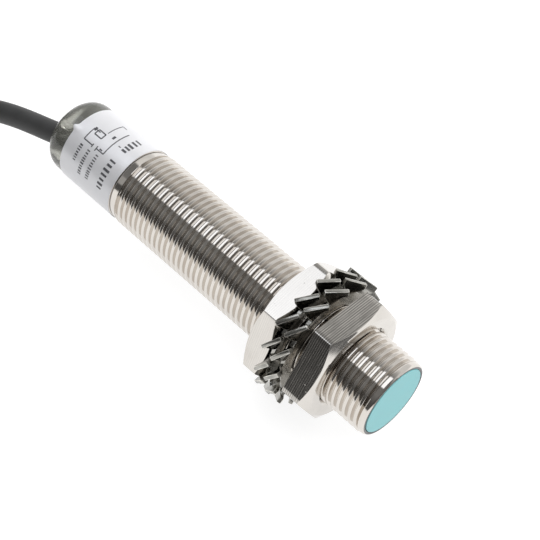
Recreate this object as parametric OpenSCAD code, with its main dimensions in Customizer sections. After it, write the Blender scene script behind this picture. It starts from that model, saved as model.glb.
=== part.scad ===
/* [Barrel] */
// Major diameter of the M12 x 1 thread
thread_d = 12; // [11.9:0.05:12]
// Rear end of the thread, behind the sensing face
thread_rear = 48.5; // [46:0.5:52]
// Diameter of the smooth rear stretch that carries the label
tail_d = 11.7; // [11.5:0.1:11.8]
// Rear end of the metal tube
tube_end = 60.3; // [60:0.1:60.5]
// Bore of the tube
bore_d = 9.8; // [9.6:0.1:9.8]

/* [Sensing face] */
// Diameter of the plastic face
face_d = 10.4; // [10.2:0.1:10.5]
// Thickness of the plastic face
face_t = 0.75; // [0.6:0.05:0.8]
// Depth of the skirt behind the face
skirt_len = 7.5; // [6:0.5:7.5]

/* [Nuts] */
// Width across flats
nut_af = 17; // [16.5:0.1:17]
// Thickness
nut_t = 3.8; // [3.6:0.1:3.8]
// Front face of the front nut, behind the sensing face
front_nut_at = 7.15; // [7:0.05:7.3]
// Front face of the rear nut, behind the sensing face
rear_nut_at = 15.35; // [15.35:0.05:15.5]
// Radial running clearance of the nuts on the barrel
nut_clear = 0.05; // [0.02:0.01:0.1]
// Angle of the front nut's first corner
front_nut_turn = 53.4; // [50:0.1:56]
// Angle of the rear nut's first corner
rear_nut_turn = 5.9; // [3:0.1:9]

/* [Lock washers] */
// Sheet thickness
washer_t = 0.6; // [0.5:0.05:0.6]
// Diameter over the teeth
washer_d = 20.2; // [20:0.1:20.4]
// Bore
washer_bore = 12.5; // [12.4:0.1:12.8]
// Number of twisted teeth
teeth = 16; // [15:1:16]
// Twist of each tooth out of the washer's plane
twist = 36; // [30:1:36]
// Middle of the rear washer, behind the sensing face
rear_washer_at = 14.8; // [14.7:0.05:14.8]
// Middle of the front washer, behind the sensing face
front_washer_at = 12.9; // [12.8:0.05:12.9]

/* [Cable] */
// Outer diameter of the jacket
cable_d = 3.4; // [3.2:0.1:3.4]
// Diameter of each insulated core
core_d = 1.2; // [1.1:0.05:1.25]
// Straight run between the end loops of the hank
hank_run = 29; // [29:1:30]

/* [Hidden] */
$fn = 96;

nickel = [0.80, 0.78, 0.74];
steel = [0.62, 0.62, 0.60];
teal = [0.59, 0.82, 0.83];
rt = thread_d / 2;
rb = bore_d / 2;
nut_rc = nut_af / 2 / cos(30);
// Free thread in front of the front nut, ended by one turn's groove at the thread's root
nose_len = 6;

// The sensor lies on the teeth of its lock washers, its lowest points.
floor_z = -washer_d / 2;

// Board
board_top = 0.5;
board_x0 = -50;
board_x1 = -4.4;

// Where the cable starts inside, and where it leaves the end cap: it is set a little off the axis.
cable_in = [-54.6, 0, 0];
cable_out = [-64.6, -1.5, -0.7];

// Hank: middle of its front loop, the outer and inner radii of the loops, and its waist
hank_c = [-106, -4.5];
hank_ro = 14.6;
hank_ri = 7.8;
hank_h = 13.6;
hank_pinch = 3;
hank_top = floor_z + hank_h;

// Points along the cable from inside the tube to the side of the hank
cable_route = [[-54.6, 0, 0], [-58, -0.5, -0.2], [-61.5, -1, -0.5], [-64.6, -1.5, -0.7], [-68.2, -2.2, -1.4],
    [-72, -2.7, -2.4], [-76, -3.4, -3.5], [-80, -4.4, -4.8], [-84, -6, -6.3], [-88, -8.4, -7.6],
    [-92, -11.4, -8.3], [-95.5, -14, -8.4]];

// A cylinder along X from x0 to x1
module along(x0, x1, r, r2 = -1) {
    translate([x0, 0, 0]) rotate([0, 90, 0]) cylinder(h = x1 - x0, r1 = r, r2 = r2 < 0 ? r : r2);
}

// A round rod between two points
module rod(a, b, r) {
    v = b - a;
    l = norm(v);
    translate(a) rotate([0, acos(v[2] / l), atan2(v[1], v[0])]) cylinder(h = l, r = r, $fn = 32);
}

// A solid of revolution about X from a list of [x, r]
module spun(pts) {
    rotate([0, 90, 0]) rotate_extrude() polygon([for (p = pts) [p[1], p[0]]]);
}

module threaded_barrel() {
    color(nickel) difference() {
        spun([[-tube_end, 0], [-tube_end, tail_d / 2], [-thread_rear, tail_d / 2], [-thread_rear, rt - 0.12],
            [-thread_rear + 0.1, rt - 0.02], [-nose_len - 1.7, rt - 0.02], [-nose_len - 1.7, rt - 0.5],
            [-nose_len - 1.05, rt - 0.5], [-nose_len - 1.05, rt], [-1, rt], [-0.95, rt - 0.2], [-0.4, rt - 0.2], [-0.05, rt - 0.5], [-0.05, 0]]);
        along(-tube_end - 1, -0.8, rb);
        along(-0.8, 1, face_d / 2 + 0.02);
    }
}

module sensing_face_cap() {
    color(teal) {
        difference() {
            union() {
                along(-face_t, 0, face_d / 2);
                along(-skirt_len, -face_t, rb - 0.04);
            }
            along(-skirt_len - 1, -face_t - 0.05, rb - 0.4);
        }
    }
}

module ferrite_core() {
    color([0.23, 0.22, 0.22]) difference() {
        along(-3.75, -0.85, 4.45);
        difference() {
            along(-2.75, 0, 3.85);
            along(-3, 0.1, 1.85);
        }
        along(-4, 0, 0.7);
        for (s = [-1, 1]) translate([0, 3 * s, 0.6]) along(-4, -2, 0.25);
    }
}

module coil_bobbin() {
    color([0.93, 0.92, 0.86]) difference() {
        union() {
            along(-2.7, -0.95, 2.25);
            along(-2.7, -2.45, 3.8);
            along(-1.2, -0.95, 3.8);
        }
        along(-3, 0, 1.9);
        for (s = [-1, 1]) translate([0, 3 * s, 0.6]) along(-4, -2, 0.25);
    }
}

module coil_winding() {
    color([0.72, 0.38, 0.16]) difference() {
        along(-2.42, -1.23, 3.7);
        along(-3, 0, 2.28);
    }
}

module coil_leads() {
    color([0.72, 0.38, 0.16]) for (s = [-1, 1]) translate([0, 3 * s, board_top + 0.1]) along(-8.5, -2.43, 0.1);
}

module core_holder() {
    color([0.93, 0.92, 0.86]) difference() {
        along(-5.6, -3.8, 4.45);
        translate([-5.7, -4.3, -0.52]) cube([1.35, 8.6, 1.04]);
        for (s = [-1, 1]) translate([0, 3 * s, board_top + 0.1]) along(-6, -3, 0.25);
    }
}

module insulating_sleeve() {
    color([0.90, 0.88, 0.72, 0.6]) difference() {
        along(-51.5, -7.8, 4.8);
        along(-52, -7, 4.6);
    }
}

module circuit_board() {
    color([0.10, 0.42, 0.20]) translate([board_x0, -4.2, -0.5]) cube([board_x1 - board_x0, 8.4, 1]);
}

// A small component body sitting on the board
module chip(x, y, l, w, h, up = 0) {
    translate([x - l / 2, y - w / 2, board_top + up]) cube([l, w, h]);
}

module oscillator_chip() {
    color([0.12, 0.12, 0.13]) chip(-16, 0, 4.9, 3.9, 1.4, 0.1);
    color([0.75, 0.75, 0.75]) for (i = [-1.5:1:1.5], s = [-1, 1])
        translate([-16 + 1.27 * i - 0.2, s > 0 ? 1.95 : -3.0, board_top]) cube([0.4, 1.05, 0.5]);
}

module output_transistor() {
    color([0.12, 0.12, 0.13]) chip(-36, 0, 4.5, 2.5, 1.5);
    color([0.75, 0.75, 0.75]) {
        for (i = [-1, 0, 1]) translate([-36 + 1.5 * i - 0.2, 1.25, board_top]) cube([0.4, 1, 0.4]);
        translate([-36.8, -2.25, board_top]) cube([1.6, 1, 0.4]);
    }
}

module protection_diode() {
    color([0.15, 0.15, 0.16]) chip(-42, 0, 2.6, 4.3, 2.1, 0.15);
    color([0.75, 0.75, 0.75]) for (s = [-1, 1]) translate([-42.7, s > 0 ? 2.15 : -2.95, board_top]) cube([1.4, 0.8, 0.9]);
}

module smd_resistors() {
    color([0.14, 0.14, 0.15]) for (p = [[-10.5, 1.6], [-10.5, -1.6], [-22, 2.4], [-24.5, 2.4], [-30.5, -2.2], [-32.5, 2.2]])
        chip(p[0], p[1], 0.8, 1.6, 0.5);
}

module smd_capacitors() {
    color([0.68, 0.55, 0.38]) for (p = [[-12, -3.1], [-22.5, -2.2], [-26, -2.2], [-28, 2]])
        chip(p[0], p[1], 1.25, 2 - 0.6 * (p[0] > -13 ? 1 : 0), 0.8);
}

module indicator_led() {
    color([0.85, 0.15, 0.12, 0.8]) translate([0, 0, 3.3]) {
        along(-59.6, -57.2, 1.2);
        translate([-59.6, 0, 0]) intersection() {
            sphere(r = 1.2);
            translate([-1.2, -2, -2]) cube([1.2, 4, 4]);
        }
        along(-57.2, -56.8, 1.35);
    }
    color([0.75, 0.75, 0.75]) for (s = [-1, 1]) {
        translate([0, 0.9 * s, 3.3]) along(-56.8, -48.6, 0.18);
        translate([-48.6, 0.9 * s, board_top]) cylinder(h = 3.3 - board_top, r = 0.18, $fn = 24);
    }
}

// Ends of the three conductors at the board, their bends behind it, and their ends at the cable
core_y = [-2.4, 0, 2.4];
function core_bend(i) = [-50.6, core_y[i], 1.12];
function core_end(i) = [-53.9, 0.72 * (i - 1), i == 1 ? 0.62 : -0.36];

module solder_joints() {
    color([0.72, 0.73, 0.74]) for (y = core_y) difference() {
        translate([-46.5, y, board_top]) cylinder(h = 0.95, r1 = 0.95, r2 = 0.6, $fn = 32);
        rod([-48, y, 1.12], [-45, y, 1.12], 0.26);
    }
}

module conductor(i) {
    y = core_y[i];
    rod([-47.6, y, 1.12], core_bend(i), core_d / 2);
    translate(core_bend(i)) sphere(r = core_d / 2 + (i == 1 ? 0.03 : 0), $fn = 32);
    rod(core_bend(i), core_end(i), core_d / 2);
    rod([-47.75, y, 1.12], [-46, y, 1.12], 0.24);
}

module conductor_brown() { color([0.40, 0.22, 0.12]) conductor(0); }
module conductor_black() { color([0.08, 0.08, 0.08]) conductor(1); }
module conductor_blue() { color([0.10, 0.28, 0.70]) conductor(2); }

// Unit vector along the cable inside the tube
cable_dir = (cable_out - cable_in) / norm(cable_out - cable_in);

module cable_crimp_ring() {
    color([0.78, 0.66, 0.36]) difference() {
        rod(cable_in + 0.6 * cable_dir, cable_in + 2 * cable_dir, 2.25);
        rod(cable_in, cable_in + 4 * cable_dir, cable_d / 2 + 0.1);
    }
}

module potting_compound() {
    color([0.30, 0.28, 0.24]) difference() {
        along(-58.2, -52, rb - 0.04);
        rod(cable_in - 0.15 * cable_dir, cable_in + 6 * cable_dir, cable_d / 2 + 0.1);
        rod(cable_in + 0.5 * cable_dir, cable_in + 2.1 * cable_dir, 2.3);
        for (i = [0, 1, 2]) rod(core_bend(i), core_end(i), core_d / 2 + 0.2);
        along(-55, -54.3, 1.75);
        for (s = [-1, 1]) translate([0, 0.9 * s, 3.3]) along(-57, -50, 0.22);
        translate([0, 0, 3.3]) along(-59, -56.75, 1.4);
    }
}

module rear_end_cap() {
    color([0.45, 0.46, 0.42, 0.7]) difference() {
        spun(concat([[-58.3, 0], [-58.3, rb - 0.04], [-tube_end - 0.02, rb - 0.04], [-tube_end - 0.02, 5.8]],
            [for (a = [0:7.5:82.5]) [-62 - 2.6 * sin(a), 3.4 + 2.4 * cos(a)]], [[-64.6, 3.4], [-64.6, 0]]));
        rod(cable_in, cable_in + 14 * cable_dir, cable_d / 2 + 0.1);
        translate([0, 0, 3.3]) along(-61.1, -57, 1.28);
    }
}

module label_sleeve() {
    color([0.90, 0.90, 0.92]) difference() {
        along(-60.4, -49.8, tail_d / 2 + 0.1);
        along(-61, -49, tail_d / 2);
    }
}

// Hexagon cut by a 30 degree chamfer at each face that has one; rf and rr are the radii where the chamfers start
module nut(x_front, turn, rf, rr) {
    difference() {
        intersection() {
            translate([x_front - nut_t - 0.5, 0, 0]) rotate([turn, 0, 0]) rotate([0, 90, 0]) rotate([0, 0, 30])
                cylinder(h = nut_t + 1, r = nut_rc, $fn = 6);
            rotate([turn + 13, 0, 0]) spun([[x_front, 0], [x_front, rf], [x_front - (10 - rf) * tan(30), 10],
                [x_front - nut_t + (10 - rr) * tan(30), 10], [x_front - nut_t, rr], [x_front - nut_t, 0]]);
        }
        along(x_front - nut_t - 1, x_front + 1, rt + nut_clear);
        along(x_front - 0.45, x_front + 0.01, rt + nut_clear, rt + nut_clear + 0.46);
        along(x_front - nut_t - 0.01, x_front - nut_t + 0.45, rt + nut_clear + 0.46, rt + nut_clear);
    }
}

module front_nut() { color(nickel) nut(-front_nut_at, front_nut_turn, 8.1, 9.7); }
module rear_nut() { color(nickel) nut(-rear_nut_at, rear_nut_turn, 8.5, 8.1); }

// External-tooth lock washer; turn is the angle of its first tooth
module lock_washer(xm, turn) {
    ro = washer_d / 2 - 0.08;
    color(steel) difference() {
        union() {
            difference() {
                along(xm - washer_t / 2, xm + washer_t / 2, 8.35);
                along(xm - 2, xm + 2, washer_bore / 2);
            }
            for (k = [0:teeth - 1]) rotate([turn + 360 / teeth * k, 0, 0]) translate([xm, 0, 0]) {
                rotate([0, -twist, 0]) translate([-washer_t / 2, 8.62, -1.65]) cube([washer_t, ro - 8.62, 3.3]);
                translate([-washer_t / 2 + 0.02, 7.9, -1.1]) cube([washer_t - 0.04, 0.9, 2.2]);
            }
        }
        // room for the rear nut, whose chamfered edge turns inside the teeth
        if (xm < -14) spun([[-rear_nut_at - 4, 0], [-rear_nut_at + 0.06, 0], [-rear_nut_at + 0.06, 8.56],
            [-rear_nut_at + 0.06 - (nut_rc + 0.08 - 8.56) * tan(30), nut_rc + 0.08], [-rear_nut_at - 4, nut_rc + 0.08]]);
    }
}

module front_lock_washer() { lock_washer(-front_washer_at, 99.6 - 90); }
module rear_lock_washer() { lock_washer(-rear_washer_at, 97.2 - 90); }

// Point on the smooth curve through pts, u from 0 to len(pts) - 1
function on_route(pts, u) =
    let (n = len(pts), i = min(floor(u), n - 2), t = u - i,
        p0 = i > 0 ? pts[i - 1] : 2 * pts[0] - pts[1], p1 = pts[i], p2 = pts[i + 1],
        p3 = i + 2 < n ? pts[i + 2] : 2 * pts[n - 1] - pts[n - 2])
    0.5 * (2 * p1 + (p2 - p0) * t + (2 * p0 - 5 * p1 + 4 * p2 - p3) * t * t + (3 * p1 - p0 - 3 * p2 + p3) * t * t * t);

// Tube of radius r swept along pts, with sides faces round it and two rings for each point
module swept(pts, r, sides) {
    n = 2 * (len(pts) - 1);
    c = [for (k = [0:n]) on_route(pts, k / 2)];
    rings = [for (k = [0:n])
        let (t = c[min(k + 1, n)] - c[max(k - 1, 0)], d = t / norm(t),
            s0 = cross([0, 0, 1], d), s = s0 / norm(s0), v = cross(d, s))
        for (j = [0:sides - 1]) c[k] + r * (cos(360 * j / sides) * s + sin(360 * j / sides) * v)];
    polyhedron(points = rings, faces = concat(
        [[for (j = [sides - 1:-1:0]) j]],
        [for (k = [0:n - 1], j = [0:sides - 1]) [k * sides + j, k * sides + (j + 1) % sides,
            (k + 1) * sides + (j + 1) % sides, (k + 1) * sides + j]],
        [[for (j = [0:sides - 1]) n * sides + j]]));
}

module cable() { color([0.22, 0.22, 0.22]) swept(cable_route, cable_d / 2, 8); }

// Outline of the hank, drawn in by its waist, with loops of radius r
function waist(x, r) = r - hank_pinch * pow(sin(180 * (x - hank_c[0]) / -hank_run), 2);
function hank_outline(r) = concat(
    [for (a = [-90:15:90]) [hank_c[0] + r * cos(a), hank_c[1] + r * sin(a)]],
    [for (i = [1:11]) let (x = hank_c[0] - hank_run * i / 12) [x, hank_c[1] + waist(x, r)]],
    [for (a = [90:15:270]) [hank_c[0] - hank_run + r * cos(a), hank_c[1] + r * sin(a)]],
    [for (i = [11:-1:1]) let (x = hank_c[0] - hank_run * i / 12) [x, hank_c[1] - waist(x, r)]]);

tie_x = hank_c[0] - hank_run / 2;
tie_w = 4;
tie_t = 0.5;

module cable_hank() {
    color([0.22, 0.22, 0.22]) difference() {
        translate([0, 0, floor_z]) linear_extrude(height = hank_h) difference() {
            polygon(hank_outline(hank_ro));
            polygon(hank_outline(hank_ri));
        }
        translate([tie_x - tie_w / 2 - 0.1, hank_c[1] - 20, floor_z - 1]) cube([tie_w + 0.2, 40, 1 + tie_t + 0.05]);
    }
}

module hank_tie() {
    w = hank_ro - hank_pinch + 0.2;
    color([0.10, 0.10, 0.10]) translate([tie_x - tie_w / 2, hank_c[1], 0]) difference() {
        translate([0, -w - tie_t, floor_z]) cube([tie_w, 2 * (w + tie_t), hank_h + tie_t + 0.1]);
        translate([-1, -w, floor_z + tie_t]) cube([tie_w + 2, 2 * w, hank_h - tie_t + 0.1]);
    }
}

// The cable's free end lies inside the hank, stripped to its three cores.
lead_z = floor_z + core_d / 2;
module lead(y0, y1) {
    rod([-125, hank_c[1] + y0, lead_z], [-137, hank_c[1] + y1, lead_z], core_d / 2);
}
module lead_brown() { color([0.40, 0.22, 0.12]) lead(-1.4, -3.6); }
module lead_black() { color([0.08, 0.08, 0.08]) lead(0, 0); }
module lead_blue() { color([0.10, 0.28, 0.70]) lead(1.4, 3.6); }
module tinned_tips() {
    color([0.75, 0.75, 0.76]) for (s = [-1, 0, 1]) {
        v = [-12, 2.2 * s, 0] / norm([-12, 2.2 * s, 0]);
        a = [-137, hank_c[1] + 3.6 * s, lead_z];
        rod(a, a + 3 * v, 0.3);
    }
}

threaded_barrel();
sensing_face_cap();
ferrite_core();
coil_bobbin();
coil_winding();
coil_leads();
core_holder();
insulating_sleeve();
circuit_board();
oscillator_chip();
output_transistor();
protection_diode();
smd_resistors();
smd_capacitors();
indicator_led();
solder_joints();
conductor_brown();
conductor_blue();
conductor_black();
cable_crimp_ring();
potting_compound();
rear_end_cap();
label_sleeve();
front_lock_washer();
front_nut();
rear_lock_washer();
rear_nut();
cable();
cable_hank();
hank_tie();
lead_brown();
lead_blue();
lead_black();
tinned_tips();
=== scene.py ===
import math

import bmesh
import bpy
import numpy as np
from mathutils import Matrix, Vector, noise


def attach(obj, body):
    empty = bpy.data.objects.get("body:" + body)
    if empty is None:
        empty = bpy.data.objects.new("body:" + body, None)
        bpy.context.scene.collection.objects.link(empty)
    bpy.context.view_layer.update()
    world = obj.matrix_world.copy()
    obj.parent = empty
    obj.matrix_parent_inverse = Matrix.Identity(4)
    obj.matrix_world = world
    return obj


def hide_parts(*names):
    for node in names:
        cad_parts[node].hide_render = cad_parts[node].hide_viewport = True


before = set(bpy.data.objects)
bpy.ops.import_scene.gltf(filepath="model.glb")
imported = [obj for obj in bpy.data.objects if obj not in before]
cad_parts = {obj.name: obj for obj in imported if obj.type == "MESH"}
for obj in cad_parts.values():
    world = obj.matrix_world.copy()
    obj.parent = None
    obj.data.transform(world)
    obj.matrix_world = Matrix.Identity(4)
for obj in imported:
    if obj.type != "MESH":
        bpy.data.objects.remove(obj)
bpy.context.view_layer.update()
MM = 0.001
TAU = 2 * math.pi
sin, cos, rad = math.sin, math.cos, math.radians

# ------------------------------------------------------------------ materials


def set_stops(elements, stops):
    """Puts (position, colour) stops on a colour ramp, in rising order of position."""
    elements[0].position, elements[-1].position = stops[0][0], stops[-1][0]
    elements[0].color, elements[-1].color = (*stops[0][1], 1), (*stops[-1][1], 1)
    for pos, col in stops[1:-1]:
        elements.new(pos).color = (*col, 1)


class Nodes:
    """A material's node tree with short ways to add to it."""

    def __init__(self, name, **values):
        self.mat = bpy.data.materials.new(name)
        self.mat.use_nodes = True
        self.t = self.mat.node_tree
        self.bsdf = self.t.nodes["Principled BSDF"]
        for key, value in values.items():
            self.set(key.replace("_", " "), value)

    def set(self, socket, value):
        s = self.bsdf.inputs[socket]
        if hasattr(value, "links"):
            self.t.links.new(value, s)
        elif isinstance(value, (tuple, list)) and len(value) == 3:
            s.default_value = (*value, 1)
        else:
            s.default_value = value

    def add(self, kind, ins=(), **props):
        n = self.t.nodes.new(kind)
        for k, v in props.items():
            setattr(n, k, v)
        for k, v in dict(ins).items():
            s = n.inputs[k]
            if isinstance(v, bpy.types.NodeSocket):
                self.t.links.new(v, s)
            elif isinstance(v, (tuple, list)) and len(v) == 3 and s.type == "RGBA":
                s.default_value = (*v, 1)
            else:
                s.default_value = v
        return n

    def object_co(self, scale=(1, 1, 1), rotation=(0, 0, 0)):
        tc = self.add("ShaderNodeTexCoord")
        return self.add(
            "ShaderNodeMapping",
            {"Vector": tc.outputs["Object"], "Scale": scale, "Rotation": rotation},
        ).outputs[0]

    def noise(self, co, scale, detail=3.0, rough=0.55):
        return self.add(
            "ShaderNodeTexNoise",
            {"Vector": co, "Scale": scale, "Detail": detail, "Roughness": rough},
        ).outputs["Fac"]

    def ramp(self, fac, stops):
        n = self.add("ShaderNodeValToRGB", {"Fac": fac})
        set_stops(n.color_ramp.elements, stops)
        return n.outputs[0]

    def math(self, op, a, b=0.0, clamp=False):
        n = self.add("ShaderNodeMath", operation=op, use_clamp=clamp)
        for s, v in zip(n.inputs, (a, b)):
            if isinstance(v, bpy.types.NodeSocket):
                self.t.links.new(v, s)
            else:
                s.default_value = v
        return n.outputs[0]

    def remap(self, v, a, b, c, d):
        return self.add(
            "ShaderNodeMapRange",
            {"Value": v, "From Min": a, "From Max": b, "To Min": c, "To Max": d},
        ).outputs[0]

    def bump(self, height, strength, distance):
        n = self.add(
            "ShaderNodeBump",
            {"Height": height, "Strength": strength, "Distance": distance},
        )
        if self.bsdf.inputs["Normal"].links:
            self.t.links.new(self.bsdf.inputs["Normal"].links[0].from_socket, n.inputs["Normal"])
        self.t.links.new(n.outputs[0], self.bsdf.inputs["Normal"])


def grey(v):
    return (v, v, v)


def nickel_turned():
    m = Nodes("nickel_turned", Metallic=1.0)
    co = m.object_co((1, 1, 1))
    blotch = m.noise(co, 160.0, 4)
    clean = m.ramp(blotch, [(0.3, (0.64, 0.60, 0.555)), (0.7, (0.70, 0.665, 0.62))])
    m.set("Roughness", m.remap(blotch, 0.3, 0.7, 0.07, 0.115))
    # the inner lip that closes on the plastic face is painted dark: painted shade in the gap between metal and plastic
    tc = m.add("ShaderNodeTexCoord")
    sep = m.add("ShaderNodeSeparateXYZ", {"Vector": tc.outputs["Object"]})
    r2 = m.math("ADD", m.math("MULTIPLY", sep.outputs["Y"], sep.outputs["Y"]), m.math("MULTIPLY", sep.outputs["Z"], sep.outputs["Z"]))
    lip_shade = m.math("MULTIPLY", m.remap(m.math("SQRT", r2), 0.00555, 0.00562, 1.0, 0.0), m.remap(sep.outputs["X"], -0.00034, -0.00026, 0.0, 1.0), True)
    mix = m.add("ShaderNodeMix", {"Factor": lip_shade}, data_type="RGBA")
    m.t.links.new(clean, mix.inputs[6])
    mix.inputs[7].default_value = (0.06, 0.06, 0.06, 1)
    m.set("Base Color", mix.outputs[2])
    fine = m.noise(m.object_co((9000, 700, 700)), 1.0, 2)
    m.bump(fine, 0.12, 0.00001)
    return m.mat


def nickel_milled(name, groove_shade, depth):
    """Nut: its flats carry mill lines that run round it, with painted shade in them and random darker blotches, and
    small pits; faces and chamfers are turned.
    """
    m = Nodes(name, Metallic=1.0)
    co = m.object_co()
    blotch = m.noise(co, 260.0, 4)
    clean = m.ramp(blotch, [(0.3, (0.62, 0.59, 0.55)), (0.7, (0.70, 0.67, 0.63))])
    tc = m.add("ShaderNodeTexCoord")
    sep = m.add("ShaderNodeSeparateXYZ", {"Vector": tc.outputs["Object"]})
    x = sep.outputs["X"]
    wob = m.noise(m.object_co((60, 60, 60)), 1.0, 2)
    u = m.math("ADD", m.math("MULTIPLY", x, TAU / 0.00031), m.math("MULTIPLY", wob, 5.0))
    lines = m.math("SINE", u)
    var = m.noise(m.object_co((2600, 260, 260)), 1.0, 3)
    lines = m.math("MULTIPLY", lines, m.remap(var, 0.35, 0.65, 0.0, 1.25))
    scratch = m.noise(m.object_co((9000, 260, 260)), 1.0, 3)
    height = m.math("ADD", m.math("MULTIPLY", lines, 0.5), m.math("MULTIPLY", scratch, 0.9))
    # the lines are on the flats only, whose normal has no part along the axis
    nrm = m.add("ShaderNodeSeparateXYZ", {"Vector": tc.outputs["Normal"]})
    flat = m.remap(m.math("ABSOLUTE", nrm.outputs["X"]), 0.05, 0.3, 1.0, 0.0)
    m.bump(m.math("MULTIPLY", height, flat), depth, 0.000012)
    pits = m.add(
        "ShaderNodeTexVoronoi", {"Vector": co, "Scale": 1500.0, "Randomness": 1.0}
    ).outputs["Distance"]
    few = m.noise(co, 700.0, 2)
    pit = m.math("MULTIPLY", m.remap(pits, 0.10, 0.2, 1.0, 0.0), m.remap(few, 0.56, 0.62, 0.0, 1.0))
    m.bump(m.math("MULTIPLY", pit, -1.0), 0.5, 0.00002)
    m.set("Roughness", m.remap(m.math("ADD", m.math("MULTIPLY", lines, 0.25), blotch), 0.2, 0.9, 0.09, 0.17))
    # painted shade: the mill lines and scratches darken the flats' base colour, together with random blotches of tone
    low = m.math("ADD", m.remap(m.math("ADD", lines, m.math("MULTIPLY", scratch, 1.6)), 0.2, 1.5, 1.0, 0.0, ), m.remap(blotch, 0.45, 0.7, 0.0, 0.35))
    groove_shade_and_blotch = m.math("MULTIPLY", m.math("MULTIPLY", low, flat, True), groove_shade, True)
    mix = m.add("ShaderNodeMix", {"Factor": groove_shade_and_blotch}, data_type="RGBA")
    m.t.links.new(clean, mix.inputs[6])
    mix.inputs[7].default_value = (0.17, 0.165, 0.15, 1)
    m.set("Base Color", mix.outputs[2])
    return m.mat


def washer_steel():
    """Blanked sheet: smooth dark faces and paler rough sheared edges, marked by the edge attribute."""
    m = Nodes("washer_steel", Metallic=1.0)
    edge = m.add("ShaderNodeAttribute", attribute_name="edge").outputs["Fac"]
    co = m.object_co()
    blotch = m.noise(co, 420.0, 4)
    face = m.ramp(blotch, [(0.3, (0.26, 0.255, 0.235)), (0.7, (0.46, 0.45, 0.42))])
    cut = m.ramp(m.noise(co, 900.0, 3), [(0.28, (0.30, 0.29, 0.26)), (0.45, (0.60, 0.585, 0.53)), (0.62, (0.95, 0.93, 0.87))])
    mix = m.add("ShaderNodeMix", {"Factor": edge}, data_type="RGBA")
    m.t.links.new(face, mix.inputs[6])
    m.t.links.new(cut, mix.inputs[7])
    m.set("Base Color", mix.outputs[2])
    m.set("Roughness", m.remap(m.math("ADD", edge, m.math("MULTIPLY", blotch, 0.5)), 0.0, 1.5, 0.16, 0.46))
    m.bump(m.noise(co, 1400.0, 3), 0.6, 0.00003)
    return m.mat


def teal_plastic():
    m = Nodes("teal_plastic", Metallic=0.0, Specular_IOR_Level=0.35)
    co = m.object_co()
    mott = m.noise(co, 500.0, 4)
    m.set("Base Color", m.ramp(mott, [(0.3, (0.212, 0.512, 0.539)), (0.7, (0.239, 0.544, 0.571))]))
    m.set("Roughness", m.remap(mott, 0.3, 0.7, 0.42, 0.55))
    m.bump(m.noise(co, 2600.0, 2), 0.18, 0.00002)
    return m.mat


def label_paper():
    m = Nodes("label_vinyl", Metallic=0.25, Specular_IOR_Level=0.5)
    co = m.object_co()
    mott = m.noise(co, 300.0, 3)
    m.set("Base Color", m.ramp(mott, [(0.3, (0.70, 0.70, 0.72)), (0.7, (0.74, 0.74, 0.76))]))
    m.set("Roughness", m.remap(mott, 0.3, 0.7, 0.28, 0.4))
    m.bump(m.noise(co, 420.0, 3), 0.12, 0.00006)
    return m.mat


def print_ink():
    m = Nodes("print_ink", Roughness=0.5)
    mott = m.noise(m.object_co(), 3500.0, 3)
    m.set("Base Color", m.ramp(mott, [(0.35, (0.045, 0.045, 0.05)), (0.7, (0.12, 0.12, 0.13))]))
    return m.mat


def smoky_plastic():
    m = Nodes("smoky_plastic", Roughness=0.12, IOR=1.46, Transmission_Weight=0.86)
    mott = m.noise(m.object_co(), 240.0, 4)
    m.set("Base Color", m.ramp(mott, [(0.3, (0.45, 0.45, 0.40)), (0.7, (0.58, 0.58, 0.53))]))
    m.set("Roughness", m.remap(mott, 0.3, 0.7, 0.08, 0.2))
    m.bump(m.noise(m.object_co(), 700.0, 3), 0.1, 0.00004)
    return m.mat


def jacket():
    m = Nodes("jacket", Metallic=0.0, Specular_IOR_Level=0.45)
    co = m.object_co()
    mott = m.noise(co, 500.0, 4)
    m.set("Base Color", m.ramp(mott, [(0.3, grey(0.034)), (0.7, grey(0.050))]))
    m.set("Roughness", m.remap(mott, 0.3, 0.7, 0.5, 0.62))
    m.bump(m.noise(co, 2200.0, 3), 0.25, 0.00002)
    return m.mat


def plain(name, colour, rough=0.4, metal=0.0, vary=0.12, bump=0.12, scale=700.0, **kw):
    m = Nodes(name, Metallic=metal, **kw)
    co = m.object_co()
    f = m.noise(co, scale, 4)
    lo = tuple(c * (1 - vary) for c in colour)
    hi = tuple(min(1, c * (1 + vary)) for c in colour)
    m.set("Base Color", m.ramp(f, [(0.3, lo), (0.7, hi)]))
    m.set("Roughness", m.remap(f, 0.3, 0.7, rough * 0.85, min(1, rough * 1.15)))
    m.bump(m.noise(co, scale * 3, 2), bump, 0.00002)
    return m.mat


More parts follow.
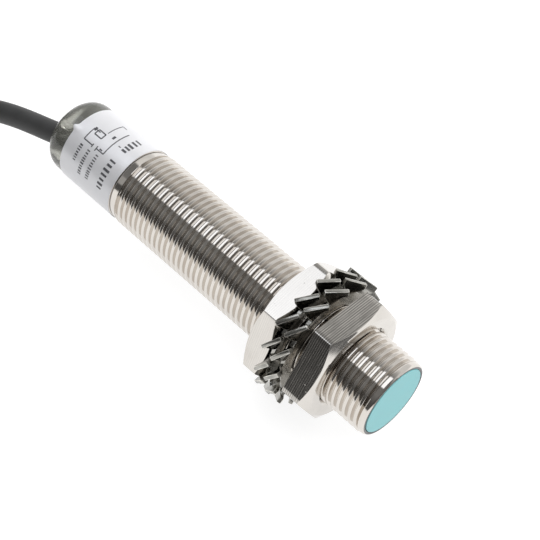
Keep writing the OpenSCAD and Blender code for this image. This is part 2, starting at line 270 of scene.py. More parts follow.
M_BARREL = nickel_turned()
# the front nut's copy carries strong painted shade in its mill lines, the rear nut's copy only faint painted shade
M_NUT = {"front_nut": nickel_milled("nickel_milled_front", 0.75, 0.42), "rear_nut": nickel_milled("nickel_milled_rear", 0.12, 0.16)}
M_WASHER = washer_steel()
M_TEAL = teal_plastic()
M_LABEL = label_paper()
M_INK = print_ink()
M_CAP = smoky_plastic()
M_JACKET = jacket()
M_TIE = plain("tie_black", grey(0.02), 0.35)
M_BROWN = plain("brown_pvc", (0.14, 0.05, 0.02), 0.38)
M_BLUE = plain("blue_pvc", (0.02, 0.08, 0.42), 0.38)
M_BLACK = plain("black_pvc", grey(0.012), 0.38)
M_TIN = plain("tinned", (0.70, 0.70, 0.71), 0.25, 1.0)
M_COPPER = plain("copper", (0.62, 0.24, 0.09), 0.3, 1.0)
INSIDE = {
    "ferrite_core": plain("ferrite", grey(0.05), 0.7, bump=0.3),
    "coil_bobbin": plain("natural_plastic", (0.80, 0.78, 0.70), 0.45),
    "coil_winding": M_COPPER,
    "coil_leads": M_COPPER,
    "core_holder": plain("natural_holder", (0.80, 0.78, 0.70), 0.45),
    "insulating_sleeve": plain("film", (0.70, 0.66, 0.42), 0.2),
    "circuit_board": plain("solder_mask", (0.015, 0.15, 0.05), 0.3),
    "oscillator_chip": plain("epoxy_a", grey(0.02), 0.5),
    "output_transistor": plain("epoxy_b", grey(0.02), 0.5),
    "protection_diode": plain("epoxy_c", grey(0.025), 0.5),
    "smd_resistors": plain("thick_film", grey(0.03), 0.4),
    "smd_capacitors": plain("ceramic", (0.42, 0.27, 0.13), 0.5),
    "solder_joints": M_TIN,
    "conductor_brown": M_BROWN,
    "conductor_blue": M_BLUE,
    "conductor_black": M_BLACK,
    "cable_crimp_ring": plain("brass_ring", (0.60, 0.44, 0.16), 0.3, 1.0),
    "potting_compound": plain("resin", (0.075, 0.062, 0.045), 0.25),
    "indicator_led": plain("led_red", (0.55, 0.03, 0.02), 0.15),
}
for node, material in INSIDE.items():
    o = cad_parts[node]
    o.data.materials.clear()
    o.data.materials.append(material)

# ------------------------------------------------------------------ mesh helpers


def make(name, verts, faces, material, body="barrel", node=None, slot=None, sharp=35, weld=True, smooth=True):
    """A mesh object in the row frame from vertices in millimetres."""
    me = bpy.data.meshes.new(name)
    me.from_pydata([tuple(v) for v in np.asarray(verts, float) * MM], [], [tuple(map(int, f)) for f in faces])
    bm = bmesh.new()
    bm.from_mesh(me)
    if weld:
        bmesh.ops.remove_doubles(bm, verts=bm.verts, dist=2e-7)
        bmesh.ops.dissolve_degenerate(bm, edges=bm.edges, dist=1e-8)
    bmesh.ops.recalc_face_normals(bm, faces=bm.faces)
    bm.to_mesh(me)
    bm.free()
    me.materials.append(material)
    if smooth:
        me.polygons.foreach_set("use_smooth", [True] * len(me.polygons))
        me.set_sharp_from_angle(angle=rad(sharp))
    o = bpy.data.objects.new(name, me)
    bpy.context.scene.collection.objects.link(o)
    if body:
        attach(o, body)
    if node:
        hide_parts(*([node] if isinstance(node, str) else node))
    return o


def grid_faces(rows, cols, wrap=True):
    """Quads between rows of cols points each."""
    f = []
    for i in range(rows - 1):
        a, b = i * cols, (i + 1) * cols
        for j in range(cols if wrap else cols - 1):
            k = (j + 1) % cols
            f.append((a + j, a + k, b + k, b + j))
    return f


def ring(x, r, n, a0=0.0):
    a = a0 + np.arange(n) / n * TAU
    return np.stack([np.full(n, x), r * np.cos(a), r * np.sin(a)], 1)


def revolve(profile, n=128):
    """Rings about the X axis through (x, r) points; a point with r of 0 closes to one vertex after welding."""
    v = np.concatenate([ring(x, r, n) for x, r in profile])
    return v, grid_faces(len(profile), n)


def arc(cx, cr, r, a0, a1, n):
    """Points on an arc in the (x, r) plane; angle 0 points to +x and 90 outwards."""
    return [(cx + r * cos(rad(a)), cr + r * sin(rad(a))) for a in np.linspace(a0, a1, n)]


# ------------------------------------------------------------------ barrel with its helical thread

PITCH, RT = 1.0, 6.0
CREST = [(0.00, 5.470), (0.035, 5.478), (0.07, 5.52), (0.235, 5.845), (0.262, 5.925), (0.292, 5.968),
         (0.33, 5.990), (0.42, 5.999), (0.50, 6.000), (0.58, 5.999), (0.67, 5.990), (0.708, 5.968),
         (0.738, 5.925), (0.765, 5.845), (0.93, 5.52), (0.965, 5.478)]
THREAD_PHASE = -0.98 - 0.5


def thread_rows(x0, x1, n, r0, r1, crest_scale=1.0):
    """Rows of points of a right-hand thread between x0 and x1, closed to radius r0 and r1 at its ends."""
    k0 = math.floor(x0 - THREAD_PHASE) - 2
    k1 = math.ceil(x1 - THREAD_PHASE) + 2
    j = np.arange(n + 1)
    a = j / n * TAU
    rows = []
    for k in range(k0, k1 + 1):
        for u, r in CREST:
            # the crest moves along +X as the azimuth grows, as on a right-hand screw
            x = THREAD_PHASE + PITCH * (k + u) + PITCH * (j / n)
            rr = np.full(n + 1, r * crest_scale)
            ramp0 = r0 + np.clip(x - x0, 0, None) * 1.0
            ramp1 = r1 + np.clip(x1 - x, 0, None) * 1.2
            rr = np.minimum(rr, np.minimum(ramp0, ramp1))
            rr = np.where(x <= x0, r0, np.where(x >= x1, r1, rr))
            x = np.clip(x, x0, x1)
            rows.append(np.stack([x, rr * np.cos(a), rr * np.sin(a)], 1))
    return rows


def const_row(x, r, n):
    a = np.arange(n + 1) / n * TAU
    return np.stack([np.full(n + 1, x), r * np.cos(a), r * np.sin(a)], 1)


N = 112
rows = []
for x, r in [(-60.3, 4.9), (-60.3, 5.75), (-60.2, 5.85), (-50.2, 5.85), (-49.85, 5.85), (-49.80, 5.735), (-48.62, 5.895), (-48.58, 5.905), (-48.54, 5.89)]:
    rows.append(const_row(x, r, N))
rows += thread_rows(-48.5, -1.02, N, 5.72, 5.74)
for x, r in [(-0.99, 5.80), (-0.95, 5.86), (-0.90, 5.885), (-0.86, 5.87), (-0.83, 5.83), (-0.38, 5.83), (-0.30, 5.80),
             (-0.10, 5.63), (-0.06, 5.57), (-0.045, 5.46), (-0.06, 5.34), (-0.12, 5.25), (-0.8, 5.22), (-0.8, 4.9)]:
    rows.append(const_row(x, r, N))
rows.append(const_row(-60.3, 4.9, N))
v = np.concatenate(rows)
barrel = make("barrel_threaded", v, grid_faces(len(rows), N + 1, wrap=False), M_BARREL, node="threaded_barrel", slot="nickel", sharp=32)

# ------------------------------------------------------------------ sensing face

face = revolve(
    [(-0.75, 0), (-0.05 + 0.03, 0), (0.0, 0.0001), (0.0, 2.0), (0.0, 4.2), (0.0, 5.08)]
    + arc(-0.09, 5.09, 0.09, 0, 90, 6)
    + [(-0.3, 5.19), (-0.75, 5.19), (-0.76, 4.86), (-7.5, 4.86), (-7.5, 4.5), (-0.82, 4.5), (-0.80, 0)],
    144,
)
make("sensing_face", *face, M_TEAL, node="sensing_face_cap", slot="teal_plastic")

# ------------------------------------------------------------------ nuts

NUT_RC = 17 / 2 / cos(rad(30))


def nut(name, x_front, turn, rf, rr, body, node):
    """Hexagon nut with 30 degree chamfers that cut its corners in curves, softened edges and a threaded bore."""
    x_rear = x_front - 3.8
    n = 30 * 6
    t30 = math.tan(rad(30))
    az = np.array([turn + 360 * i / n for i in range(n + 1)])
    rel = np.radians((az - turn) % 60 - 30)
    hexr = 8.5 / np.cos(rel)
    # ease the sharp corners a little
    hexr = np.minimum(hexr, NUT_RC - 0.035 - 0.9 * np.clip(0.045 - np.abs(np.abs(rel) - rad(30)), 0, 1) * 1.2)
    a = np.radians(az)

    def row(x, r):
        r = np.broadcast_to(r, az.shape)
        x = np.broadcast_to(x, az.shape)
        return np.stack([x, r * np.cos(a), r * np.sin(a)], 1)

    rows = []
    # front face from bore to chamfer start, the chamfer, the flat, and the same at the rear
    xf = x_front - np.maximum(hexr - rf, 0) * t30
    xr = x_rear + np.maximum(hexr - rr, 0) * t30
    rows += [row(x_front - 0.42, 6.05), row(x_front - 0.03, 6.48), row(x_front, 6.55)]
    rfe = np.minimum(rf, hexr)
    rows += [row(x_front, 7.3), row(x_front, rfe - 0.06), row(x_front - 0.012, rfe)]
    for q in (0.33, 0.66):
        rows.append(row(x_front - 0.012 + (xf - x_front + 0.012) * q, rfe + (hexr - rfe) * q))
    rows.append(row(xf + 0.03 * 0.5, hexr - 0.035))
    rows.append(row(xf - 0.035, hexr))
    for q in (0.25, 0.5, 0.75):
        rows.append(row(xf + (xr - xf) * q, hexr))
    rows.append(row(xr + 0.035, hexr))
    rows.append(row(xr - 0.03 * 0.5, hexr - 0.035))
    rre = np.minimum(rr, hexr)
    for q in (0.66, 0.33):
        rows.append(row(x_rear + 0.012 + (xr - x_rear - 0.012) * q, rre + (hexr - rre) * q))
    rows += [row(x_rear + 0.012, rre), row(x_rear, rre - 0.06), row(x_rear, 7.3), row(x_rear, 6.55), row(x_rear + 0.03, 6.48), row(x_rear + 0.42, 6.05)]
    # threaded bore: shallow helical grooves outside the running radius
    steps = 8 * 3
    lo, hi = x_rear + 0.45, x_front - 0.45
    for i in range(steps + 1):
        x = lo + (hi - lo) * i / steps
        ph = ((x - THREAD_PHASE) - (az - turn) / 360 * 1.0) % 1.0
        r = 6.05 + 0.34 * np.clip(1.4 - np.abs(ph - 0.5) * 4.2, 0, 1)
        r = np.minimum(r, 6.05 + 0.6 * min(x - lo, hi - x) + 0.001)
        rows.append(row(x, r))
    rows.append(rows[0].copy())
    v = np.concatenate(rows)
    return make(name, v, grid_faces(len(rows), n + 1, wrap=False), M_NUT[node], body=body, node=node, slot="nickel", sharp=18)


nut("nut_front", -7.15, 53.4, 8.1, 9.75, "front_nut", "front_nut")
nut("nut_rear", -15.35, 5.9, 8.5, 8.1, "rear_nut", "rear_nut")

# ------------------------------------------------------------------ lock washers


def washer(name, xm, turn, body, node, seed):
    """Flat ring whose outer edge is slit into sixteen teeth, each twisted out of the ring's plane towards its tip."""
    t2 = 0.3
    g = np.random.default_rng(seed)
    verts, faces, edge = [], [], []

    def add(block, fs, e):
        base = len(verts)
        verts.extend(block)
        for f in fs:
            faces.append([base + i for i in f])
        edge.extend([e] * len(fs))

    # ring with eased edges
    n = 192
    prof = [(-t2 + 0.05, 6.25), (-t2, 6.31), (-t2, 8.2), (-t2 + 0.06, 8.27), (t2 - 0.06, 8.27), (t2, 8.2), (t2, 6.31), (t2 - 0.05, 6.25)]
    blk = np.concatenate([ring(xm + x, r, n) for x, r in prof + [prof[0]]])
    add(blk, grid_faces(len(prof) + 1, n), 0.0)
    # teeth: a stack of cross-sections from inside the ring out to the tip
    sec = [(-1, -1), (-0.93, -1), (0.93, -1), (1, -1)]
    for k in range(16):
        az = rad(turn + 22.5 * k) + g.normal(0, 0.006)
        er = np.array([0, cos(az), sin(az)])
        et = np.array([0, -sin(az), cos(az)])
        ex = np.array([1.0, 0, 0])
        top = 36 + g.uniform(-3, 2)
        dr = g.uniform(-0.07, 0.04)
        blk = []
        lv = np.linspace(0, 1, 11)
        levels = [(8.05 + (10.0 + dr - 8.05) * q, q) for q in lv] + [(10.045 + dr, 1.0)]
        for i, (r, q) in enumerate(levels):
            s = min(1, max(0, (q - 0.04) / 0.62))
            tw = rad(top * (s * s * (3 - 2 * s)))
            hw = (1.12 + 0.53 * min(1, q * 1.5))
            ht = t2
            if i == len(levels) - 1:
                hw, ht = hw - 0.085, t2 - 0.085
            elif i == len(levels) - 2:
                hw, ht = hw - 0.012, t2 - 0.012
            wv = cos(tw) * et - sin(tw) * ex
            tv = cos(tw) * ex + sin(tw) * et
            c = ex * xm + er * r
            b = 0.095
            pts = [(-hw + b, -ht), (hw - b, -ht), (hw, -ht + b), (hw, ht - b), (hw - b, ht), (-hw + b, ht), (-hw, ht - b), (-hw, -ht + b)]
            for w, t in pts:
                # sheared edges are ragged, more so towards the tip
                rag = 0.045 * q * noise.noise(Vector((k * 3.7 + w * 2.1, t * 5.0, r * 2.3)))
                blk.append(c + wv * (w + rag) + tv * (t + 0.5 * rag))
        m = len(levels)
        fs, es = [], []
        for i in range(m - 1):
            for j in range(8):
                fs.append((i * 8 + j, i * 8 + (j + 1) % 8, (i + 1) * 8 + (j + 1) % 8, (i + 1) * 8 + j))
                es.append(1.0 if j in (1, 3, 5, 7) or i == m - 2 else 0.3 if j in (2, 6) else 0.0)
        fs.append(tuple(range(7, -1, -1)))
        es.append(0.0)
        fs.append(tuple((m - 1) * 8 + j for j in range(8)))
        es.append(1.0)
        base = len(verts)
        verts.extend(blk)
        faces.extend([[base + i for i in f] for f in fs])
        es[-1] = 0.05
        edge.extend(es)
    o = make(name, np.array(verts), faces, M_WASHER, body=body, node=node, slot="washer_steel", sharp=28, weld=False)
    at = o.data.attributes.new("edge", "FLOAT", "FACE")
    at.data.foreach_set("value", np.array(edge, np.float32))
    return o


washer("lock_washer_rear", -14.8, 97.2, "rear_washer", "rear_lock_washer", 3)
washer("lock_washer_front", -12.9, 99.6, "front_washer", "front_lock_washer", 5)

# ------------------------------------------------------------------ label with generic printing

LAB0, LAB1, LR, LT = -60.45, -49.8, 5.87, 0.07


def label():
    """A wrapped sheet with a lap along its back and one lifted corner at its rear edge."""
    nx, na = 46, 220
    a0, a1 = -78.0, 292.0
    rows_o, rows_i = [], []
    for i in range(nx + 1):
        x = LAB0 + (LAB1 - LAB0) * i / nx
        ro, ri, xs = [], [], []
        for j in range(na + 1):
            az = a0 + (a1 - a0) * j / na
            lap = max(0, (az - 272) / 20) * 0.075
            wr = 0.012 * noise.noise(Vector((x * 0.9, az * 0.05, 3.1)))
            # lifted, crumpled corner
            d = math.exp(-((az - 110) / 4.0) ** 2) * math.exp(-((x - LAB0) / 0.5) ** 2)
            lift = 0.26 * d + 0.09 * d * noise.noise(Vector((az * 0.55, x * 2.2, 0.7)))
            xs.append(x - 0.45 * d)
            r = LR + lap + wr + lift
            ri.append(r)
            ro.append(r + LT)
        az = np.radians(np.linspace(a0, a1, na + 1))
        rows_o.append(np.stack([xs, np.array(ro) * np.cos(az), np.array(ro) * np.sin(az)], 1))
        rows_i.append(np.stack([xs, np.array(ri) * np.cos(az), np.array(ri) * np.sin(az)], 1))
    cols = na + 1
    vo, vi = np.concatenate(rows_o), np.concatenate(rows_i)
    f = grid_faces(nx + 1, cols, wrap=False)
    off = len(vo)
    f2 = [tuple(off + i for i in reversed(q)) for q in f]
    rim = []
    for j in range(cols - 1):
        rim.append((j + 1, j, off + j, off + j + 1))
        b = nx * cols + j
        rim.append((b, b + 1, off + b + 1, off + b))
    for i in range(nx):
        b = i * cols
        rim.append((b, b + cols, off + b + cols, off + b))
        b = i * cols + na
        rim.append((b + cols, b, off + b, off + b + cols))
    return make("label", np.concatenate([vo, vi]), f + f2 + rim, M_LABEL, node="label_sleeve", slot="label_vinyl", weld=False, sharp=50)


lab = label()
INK_R = LR + LT + 0.016
ink_v, ink_f = [], []


def bar(x, az, lx, la, r=INK_R):
    """A printed bar centred at (x, az), lx millimetres along the axis and la millimetres round it."""
    da = math.degrees(la / 2 / r)
    steps = max(2, int(la / 0.35) + 1)
    base = len(ink_v)
    for ri in (r, r - 0.03):
        for s in np.linspace(-da, da, steps):
            for dx in (-lx / 2, lx / 2):
                wr = 0.012 * noise.noise(Vector(((x + dx) * 0.9, (az + s) * 0.05, 3.1)))
                q = rad(az + s)
                ink_v.append((x + dx, (ri + wr) * cos(q), (ri + wr) * sin(q)))
    h = steps * 2
    for i in range(steps - 1):
        a, b = base + 2 * i, base + 2 * i + 2
        ink_f.append((a, a + 1, b + 1, b))
        ink_f.append((a + h, b + h, b + h + 1, a + h + 1))
        ink_f.append((a, b, b + h, a + h))
        ink_f.append((a + 1, a + h + 1, b + h + 1, b + 1))
    ink_f.append((base, base + h, base + h + 1, base + 1))
    e = base + h - 2
    ink_f.append((e, e + 1, e + h + 1, e + h))


MM_DEG = math.degrees(1 / INK_R)
# three columns of plain dashes in place of the small print
for x, a_from, a_to, size, seed in [(-57.9, 124, 150, 0.62, 1), (-56.35, 124, 164, 0.66, 2), (-54.75, 122, 160, 0.66, 3)]:
    g = np.random.default_rng(seed)
    a = a_from
    while a < a_to:
        bar(x, a, size * g.uniform(0.75, 1.0), g.uniform(0.15, 0.26))
        a += g.uniform(0.36, 0.5) * MM_DEG
# one column of larger dashes near the front edge
g = np.random.default_rng(9)
a = 66.0
while a < 158:
    if abs(a - 104) > 5:
        bar(-52.1, a, g.uniform(0.85, 1.2), g.uniform(0.24, 0.4))
    a += g.uniform(0.62, 0.8) * MM_DEG
# a plain wiring diagram: two outlines and a small block
LW = 0.17


def run_x(x0, x1, az, w=LW):
    bar((x0 + x1) / 2, az, abs(x1 - x0), w)


def run_a(x, a0, a1, w=LW):
    bar(x, (a0 + a1) / 2, w, abs(a1 - a0) / MM_DEG)


run_a(-58.2, 94, 115)
run_x(-58.2, -56.5, 115)
run_a(-56.4, 112, 118)
run_a(-55.6, 111, 119)
run_x(-55.6, -54.1, 115)
run_a(-54.1, 66, 115)
run_x(-55.1, -54.6, 112.5, 0.22)
run_x(-58.2, -57.0, 94)
run_a(-58.0, 91.0, 97.0, 0.42)
for da in (-4.5, 4.5):
    run_x(-57.5, -56.1, 96 + da, 0.2)
run_a(-57.5, 91.5, 100.5, 0.2)
run_a(-56.1, 91.5, 100.5, 0.2)
run_a(-56.1, 60, 88, 0.14)
run_x(-56.1, -55.3, 60, 0.14)
run_a(-54.9, 84, 90, 0.4)
run_x(-53.3, -52.9, 92, 0.16)
ink = make("label_print", np.array(ink_v), ink_f, M_INK, slot="label_vinyl", weld=False, smooth=False)

# ------------------------------------------------------------------ rear end cap

cap = [(-58.3, 0), (-58.3, 4.78), (-58.35, 4.85), (-60.32, 4.85), (-60.33, 5.70), (-60.40, 5.79), (-60.5, 5.80)]
cap += [(-61.6, 5.80)]
cap += [(-62 - 2.6 * sin(rad(b)), 3.4 + 2.4 * cos(rad(b))) for b in np.linspace(0, 84, 22)]
cap += [(-64.6, 3.35), (-64.6, 0.0)]
cv, cf = revolve(cap, 128)
cap_o = make("end_cap", cv, cf, M_CAP, node="rear_end_cap", slot="smoky_plastic")

# hole for the cable, and the pocket of the indicator
CIN, COUT = np.array([-54.6, 0, 0]), np.array([-64.6, -1.5, -0.7])
cdir = (COUT - CIN) / np.linalg.norm(COUT - CIN)


def frame_of(d):
    s = np.cross([0, 0, 1.0], d)
    s /= np.linalg.norm(s)
    return s, np.cross(d, s)


def tube_between(a, b, r, n=48):
    d = (b - a) / np.linalg.norm(b - a)
    s, t = frame_of(d)
    an = np.arange(n) / n * TAU
    circ = [r * (math.cos(q) * s + math.sin(q) * t) for q in an]
    v = [a + c for c in circ] + [b + c for c in circ]
    f = [(i, (i + 1) % n, n + (i + 1) % n, n + i) for i in range(n)]
    return np.array(v), f + [tuple(range(n))[::-1], tuple(range(n, 2 * n))]


def cut(obj, *cutters):
    for v, f in cutters:
        me = bpy.data.meshes.new("cutter")
        me.from_pydata([tuple(p) for p in v * MM], [], f)
        bm = bmesh.new()
        bm.from_mesh(me)
        bmesh.ops.recalc_face_normals(bm, faces=bm.faces)
        bm.to_mesh(me)
        bm.free()
        c = bpy.data.objects.new("cutter", me)
        bpy.context.scene.collection.objects.link(c)
        md = obj.modifiers.new("cut", "BOOLEAN")
        md.operation, md.object, md.solver = "DIFFERENCE", c, "EXACT"
        bpy.context.view_layer.update()
        dg = bpy.context.evaluated_depsgraph_get()
        new = bpy.data.meshes.new_from_object(obj.evaluated_get(dg))
        obj.modifiers.remove(md)
        obj.data = new
        bpy.data.objects.remove(c)
    me = obj.data
    me.polygons.foreach_set("use_smooth", [True] * len(me.polygons))
    me.set_sharp_from_angle(angle=rad(35))


cut(
    cap_o,
    tube_between(CIN, CIN + cdir * 14, 1.78),
    tube_between(np.array([-57.0, 0, 3.3]), np.array([-61.1, 0, 3.3]), 1.28),
)

# ------------------------------------------------------------------ cable

CD = 3.4
FLOOR = -10.1
HC = np.array([-106.0, -4.5])
RUN = 29.0
PINCH = 3.0


def smooth_path(pts, per=12):
    pts = np.array(pts, float)
    p = np.vstack([2 * pts[0] - pts[1], pts, 2 * pts[-1] - pts[-2]])
    out = []
    for i in range(1, len(p) - 2):
        p0, p1, p2, p3 = p[i - 1], p[i], p[i + 1], p[i + 2]
        for t in np.arange(per) / per:
            out.append(0.5 * (2 * p1 + (p2 - p0) * t + (2 * p0 - 5 * p1 + 4 * p2 - p3) * t * t + (3 * p1 - p0 - 3 * p2 + p3) * t ** 3))
    out.append(pts[-1])
    return np.array(out)


def resample(p, step):
    d = np.concatenate([[0], np.cumsum(np.linalg.norm(np.diff(p, axis=0), axis=1))])
    n = max(2, int(d[-1] / step) + 1)
    s = np.linspace(0, d[-1], n)
    return np.stack([np.interp(s, d, p[:, i]) for i in range(3)], 1), d[-1]


def level(k):
    return FLOOR + CD / 2 + 0.02 + CD * (k - 1)


def racetrack(r, s, pinch):
    """Point of a racetrack loop of end radius r at share s of its way round, from the -Y side's front end."""
    L1, L2 = RUN, math.pi * r
    per = 2 * (L1 + L2)
    q = (s % 1.0) * per
    if q < L1:  # -Y run, going to -X
        x = HC[0] - q
        y = HC[1] - (r - pinch * sin(math.pi * q / RUN) ** 2)
    elif q < L1 + L2:  # rear loop
        a = rad(270) - (q - L1) / r
        x, y = HC[0] - RUN + r * math.cos(a), HC[1] + r * math.sin(a)
    elif q < 2 * L1 + L2:  # +Y run, going to +X
        q2 = q - L1 - L2
        x = HC[0] - RUN + q2
        y = HC[1] + (r - pinch * sin(math.pi * q2 / RUN) ** 2)
    else:  # front loop
        a = rad(90) - (q - 2 * L1 - L2) / r
        x, y = HC[0] + r * math.cos(a), HC[1] + r * math.sin(a)
    return x, y


def hank_path():
    ro, ri = 12.9, 9.45
    pts = []
    start = [(-54.6, 0, 0), (-58, -0.5, -0.2), (-61.5, -1, -0.5), (-64.6, -1.5, -0.7), (-68.2, -2.2, -1.4), (-72, -2.7, -2.4),
             (-76, -3.4, -3.5), (-80, -4.4, -4.8), (-84, -6, -6.3), (-88, -8.6, -7.5), (-92, -11.6, -8.15), (-96, -14.4, level(1)), (-100.5, -16.5, level(1))]
    lead_in = smooth_path(start + [(-106, -17.4, level(1)), (-109, -17.3, level(1))], 12)
    lead_in = lead_in[: 12 * 13 + 1]
    out = list(lead_in)
    # each turn rises by one cable's width along the +Y run
    def turn(r0, r1, k0, k1, s0=0.0, s1=1.0):
        n = 96
        for i in range(1, n + 1):
            s = s0 + (s1 - s0) * i / n
            r = r0
            x, y = racetrack(r0, s, PINCH)
            L1, L2 = RUN, math.pi * r0
            per = 2 * (L1 + L2)
            c = (L1 + L2) / per
            w = min(1, max(0, (s - c) / (L1 / per)))
            w = w * w * (3 - 2 * w)
            if r1 != r0:
                x2, y2 = racetrack(r1, s, PINCH)
                x, y = x + (x2 - x) * w, y + (y2 - y) * w
            z = level(k0) + (level(k1) - level(k0)) * w
            out.append(np.array([x, y, z]))
    turn(ro, ro, 1, 2)
    turn(ro, ro, 2, 3)
    turn(ro, ro, 3, 4)
    turn(ro, ri, 4, 4)
    turn(ri, ri, 4, 3)
    turn(ri, ri, 3, 2)
    turn(ri, ri, 2, 1)
    return np.array(out), ri


path, ri = hank_path()
# the last turn leaves the inner column in an easy S and ends in the hollow
S_R = 11.9
S_T = math.acos(1 - ri / (2 * S_R))
tail = [np.array([HC[0] - S_R * sin(t), HC[1] - ri + S_R * (1 - cos(t)), level(1)]) for t in np.linspace(0, S_T, 14)]
tail += [np.array([HC[0] - 2 * S_R * sin(S_T) + S_R * sin(t), HC[1] - S_R * (1 - cos(t)), level(1)]) for t in np.linspace(S_T, 0, 14)[1:]]
tail = np.array(tail)
path = np.vstack([path, tail[1:]])
path, cable_len = resample(path, 1.1)
# ease the corners between the pieces
for _ in range(3):
    path[1:-1] = 0.25 * path[:-2] + 0.5 * path[1:-1] + 0.25 * path[2:]
# the strap under its waist lifts the hank a little
path[:, 2] += 0.62 * np.exp(-(((path[:, 0] - (HC[0] - RUN / 2)) / 5.0) ** 2))
path, cable_len = resample(path, 1.1)


def tube(pts, r, n=16, cap=True):
    d = np.gradient(pts, axis=0)
    d /= np.linalg.norm(d, axis=1)[:, None]
    s = np.cross([0, 0, 1.0], d[0])
    s /= np.linalg.norm(s)
    rows = []
    for i in range(len(pts)):
        s = s - d[i] * (s @ d[i])
        s /= np.linalg.norm(s)
        t = np.cross(d[i], s)
        a = np.arange(n) / n * TAU
        rows.append(pts[i] + r * (np.cos(a)[:, None] * s + np.sin(a)[:, None] * t))
    v = np.concatenate(rows)
    f = grid_faces(len(pts), n)
    if cap:
        f += [tuple(range(n))[::-1], tuple((len(pts) - 1) * n + j for j in range(n))]
    return v, f


cv, cf = tube(path, CD / 2, 18)
cable = make("cable_jacket", cv, cf, M_JACKET, node=["cable", "cable_hank"], slot="jacket", weld=False, sharp=50)


def lead(name, s, material, node, slot):
    a = np.array([-124.4, HC[1] + 0.95 * s, level(1) + 0.05 - 0.3 * abs(s)])
    pts = [a, np.array([-126.5, HC[1] + 1.5 * s, level(1) - 0.6]), np.array([-129, HC[1] + 2.0 * s, FLOOR + 0.66]),
           np.array([-132.5, HC[1] + 2.7 * s, FLOOR + 0.62]), np.array([-137, HC[1] + 3.6 * s, FLOOR + 0.62])]
    p = smooth_path(pts, 8)
    v, f = tube(p, 0.6, 16)
    o = make(name, v, f, material, node=node, slot=slot, weld=False, sharp=50)
    e = p[-1]
    d = p[-1] - p[-2]
    d /= np.linalg.norm(d)
    tv, tf = tube(np.array([e - d * 0.5, e + d * 1.0, e + d * 2.0, e + d * 2.9, e + d * 3.0]), 0.3, 12)
    return o, tv, tf


leads, tips_v, tips_f = [], [], []
for name, s, material, node, slot in [("core_brown", -1, M_BROWN, "lead_brown", "brown_pvc"), ("core_black", 0, M_BLACK, "lead_black", "black_pvc"),
                                      ("core_blue", 1, M_BLUE, "lead_blue", "blue_pvc")]:
    o, tv, tf = lead(name, s, material, node, slot)
    leads.append(o)
    base = len(tips_v)
    tips_v.extend(tv)
    tips_f.extend([tuple(base + i for i in f) for f in tf])
tips = make("tinned_ends", np.array(tips_v), tips_f, M_TIN, node="tinned_tips", slot="solder", weld=False)


def tie():
    """A flat strap round the waist, bulging a little outwards along its middle."""
    w = 12.9 + CD / 2 - PINCH + 0.1
    top = FLOOR + 4 * CD + 0.15 + 0.6
    bot = FLOOR + 0.64
    xm = HC[0] - RUN / 2
    c = 1.6
    line = []
    for cy, cz, a0 in ((w - c, top - c, 0), (-w + c, top - c, 90), (-w + c, bot + c, 180), (w - c, bot + c, 270)):
        for a in np.linspace(a0, a0 + 90, 9):
            line.append((HC[1] + cy + c * cos(rad(a)), cz + c * sin(rad(a))))
    n = len(line)
    rows = []
    cy, cz = HC[1], (top + bot) / 2
    for y, z in line:
        out = np.array([y - cy, z - cz])
        k = 0.5
        oy = k * np.sign(out[0]) if abs(out[0]) > w - c - 0.01 else 0
        oz = k * np.sign(out[1]) if abs(out[1]) > (top - bot) / 2 - c - 0.01 else 0
        rows.append([(xm - 1.9, y, z), (xm - 2, y + oy * 0.5, z + oz * 0.5), (xm - 1.85, y + oy, z + oz), (xm - 0.5, y + oy * 1.0, z + oz * 1.0),
                     (xm, y + oy * 1.25, z + oz * 1.25), (xm + 0.5, y + oy, z + oz), (xm + 1.85, y + oy, z + oz), (xm + 2, y + oy * 0.5, z + oz * 0.5), (xm + 1.9, y, z)])
    rows.append(rows[0])
    v = np.array(rows).reshape(-1, 3)
    return make("hank_strap", v, grid_faces(len(rows), 9), M_TIE, node="hank_tie", slot="tie_black", sharp=40)


strap = tie()
i0 = int(np.argmin(np.linalg.norm(path - np.array([-64.6, -1.5, -0.7]), axis=1)))
cord_path = path[i0:]
cord_len = float(np.linalg.norm(np.diff(cord_path, axis=0), axis=1).sum())
print("cord length outside the cap mm", round(cord_len, 1), "whole", round(cable_len, 1))

# ------------------------------------------------------------------ stage


def make_floor():
    me = bpy.data.meshes.new("floor")
    bm = bmesh.new()
    bmesh.ops.create_circle(bm, cap_ends=True, segments=96, radius=1.6)
    for vtx in bm.verts:
        vtx.co.z = FLOOR * MM - 0.00002
        vtx.co.x -= 0.06
    bm.to_mesh(me)
    bm.free()
    o = bpy.data.objects.new("floor", me)
    bpy.context.scene.collection.objects.link(o)
    m = Nodes("floor", Roughness=0.9, Specular_IOR_Level=0.0)
    m.set("Base Color", grey(0.28))
    m.set("Emission Color", grey(1.0))
    m.set("Emission Strength", 0.86)
    me.materials.append(m.mat)
    return o


make_floor()

def flag():
    """A low dark card that stands ahead of the sensor and shows only as a reflection in the metal."""
    me = bpy.data.meshes.new("flag")
    x, w, z0, z1 = 0.085, 0.045, FLOOR * MM, 0.034
    me.from_pydata([(x, -w, z0), (x, w, z0), (x, w, z1), (x, -w, z1)], [], [(0, 1, 2, 3)])
    o = bpy.data.objects.new("flag", me)
    bpy.context.scene.collection.objects.link(o)
    m = Nodes("flag", Roughness=1.0, Specular_IOR_Level=0.0)
    m.set("Base Color", grey(0.0))
    m.set("Emission Color", grey(1.0))
    m.set("Emission Strength", 0.11)
    me.materials.append(m.mat)
    o.visible_camera = o.visible_diffuse = o.visible_shadow = o.visible_transmission = False


flag()

world = bpy.data.worlds.new("studio")
bpy.context.scene.world = world
world.use_nodes = True
wt = world.node_tree
wt.nodes.clear()


def wn(kind, **props):
    n = wt.nodes.new(kind)
    for k, val in props.items():
        setattr(n, k, val)
    return n


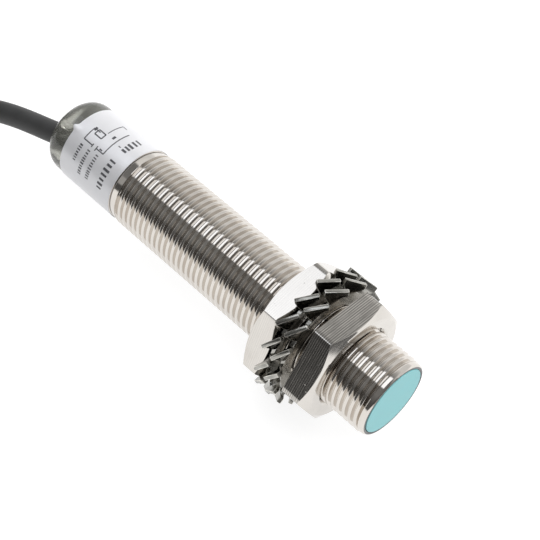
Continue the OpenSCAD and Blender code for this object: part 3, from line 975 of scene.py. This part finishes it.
def wmath(op, a, b=0.0, clamp=False):
    n = wn("ShaderNodeMath", operation=op, use_clamp=clamp)
    for s, val in zip(n.inputs, (a, b)):
        if isinstance(val, bpy.types.NodeSocket):
            wt.links.new(val, s)
        else:
            s.default_value = val
    return n.outputs[0]


def step(x, lo, hi):
    n = wn("ShaderNodeMapRange", interpolation_type="SMOOTHSTEP")
    wt.links.new(x, n.inputs["Value"])
    n.inputs["From Min"].default_value = lo
    n.inputs["From Max"].default_value = hi
    return n.outputs[0]


tc = wn("ShaderNodeTexCoord")
sp = wn("ShaderNodeSeparateXYZ")
wt.links.new(tc.outputs["Generated"], sp.inputs[0])
X, Y, Z = sp.outputs


def between(x, a, b, s):
    return wmath("MULTIPLY", step(x, a - s, a + s), wmath("SUBTRACT", 1.0, step(x, b - s, b + s)))


def curve(x, pts, lo, hi):
    """A value that follows pts, (x, value), between lo and hi."""
    mr = wn("ShaderNodeMapRange")
    wt.links.new(x, mr.inputs["Value"])
    mr.inputs["From Min"].default_value = lo
    mr.inputs["From Max"].default_value = hi
    r = wn("ShaderNodeValToRGB")
    wt.links.new(mr.outputs[0], r.inputs[0])
    set_stops(r.color_ramp.elements, [((p - lo) / (hi - lo), (val, val, val)) for p, val in pts])
    return r.outputs[0]


# brightness of the room against how far a direction leans to the +Y side, as the angle in the YZ plane: -1 is -Y, 0 is up, 1 is +Y
lean = wmath("DIVIDE", wmath("ARCTAN2", Y, wmath("MAXIMUM", Z, 0.0001)), math.pi / 2)
room = curve(
    lean,
    [(-1.0, 1.0), (-0.985, 0.9), (-0.965, 0.09), (-0.74, 0.085), (-0.62, 0.14), (-0.45, 0.21), (-0.25, 0.20), (0.20, 0.18),
     (0.30, 0.38), (0.37, 0.46), (0.43, 0.58), (0.54, 0.82), (0.70, 0.80), (0.86, 0.80), (0.94, 0.88), (1.0, 0.95)],
    -1.0,
    1.0,
)
softbox = wmath("MULTIPLY", between(X, -0.58, 0.20, 0.02), between(lean, -0.19, 0.205, 0.02))
softbox = wmath("MULTIPLY", softbox, step(Z, 0.3, 0.5))
# the side ahead of the sensor is dim
side = wmath("MULTIPLY", step(X, 0.74, 0.92), 0.16)
# a pale wall far behind it, above the cable
behind = wmath("MULTIPLY", wmath("SUBTRACT", 1.0, step(X, -0.72, -0.62)), wmath("ADD", wmath("MULTIPLY", between(lean, -0.72, -0.40, 0.04), 0.42), wmath("MULTIPLY", step(lean, 0.2, 0.3), 0.9)))
side = wmath("MAXIMUM", side, behind)
total = wmath("MAXIMUM", room, side)
below = step(Z, -0.02, 0.02)
total = wmath("ADD", wmath("MULTIPLY", total, below), wmath("MULTIPLY", wmath("SUBTRACT", 1.0, below), 1.0))
bg = wn("ShaderNodeBackground")
wt.links.new(total, bg.inputs["Strength"])
bg.inputs["Color"].default_value = (1.0, 0.998, 0.992, 1)
bg2 = wn("ShaderNodeBackground")
wt.links.new(wmath("MULTIPLY", softbox, 1.35), bg2.inputs["Strength"])
bg2.inputs["Color"].default_value = (0.98, 1.02, 1.09, 1)
both = wn("ShaderNodeAddShader")
wt.links.new(bg.outputs[0], both.inputs[0])
wt.links.new(bg2.outputs[0], both.inputs[1])
wo = wn("ShaderNodeOutputWorld")
wt.links.new(both.outputs[0], wo.inputs[0])



def lamp(name, where, target, size, power, colour):
    """A large soft light that fills the matt surfaces and isn't mirrored in the metal."""
    d = bpy.data.lights.new(name, "AREA")
    d.shape, d.size, d.energy, d.color = "DISK", size, power, colour
    o = bpy.data.objects.new(name, d)
    bpy.context.scene.collection.objects.link(o)
    o.location = where
    o.rotation_mode = "QUATERNION"
    o.rotation_quaternion = (Vector(target) - Vector(where)).to_track_quat("-Z", "Y")
    o.visible_glossy = False


lamp("fill_over", (0.05, 0.10, 0.75), (-0.03, 0, 0), 0.9, 3.2, (1.0, 0.99, 0.98))
lamp("fill_right", (0.35, 0.45, 0.35), (-0.03, 0, 0), 0.5, 2.2, (1.0, 0.99, 0.97))

cam_d = bpy.data.cameras.new("camera")
cam_d.lens = 93.87
cam_d.sensor_width = 36
cam_d.clip_start, cam_d.clip_end = 0.01, 10
cam = bpy.data.objects.new("camera", cam_d)
bpy.context.scene.collection.objects.link(cam)
right = Vector((0.70084, 0.71332, 0.0)).normalized()
back = Vector((0.40265, -0.39561, 0.82545)).normalized()
up = back.cross(right).normalized()
right = up.cross(back).normalized()
rot = Matrix((right, up, back)).transposed()
cam.matrix_world = Matrix.Translation(Vector((0.05234, -0.07397, 0.16064))) @ rot.to_4x4()
bpy.context.scene.camera = cam

sc = bpy.context.scene
sc.view_settings.view_transform = "Standard"
sc.view_settings.look = "None"
sc.view_settings.exposure = 0.0
sc.view_settings.gamma = 1.0
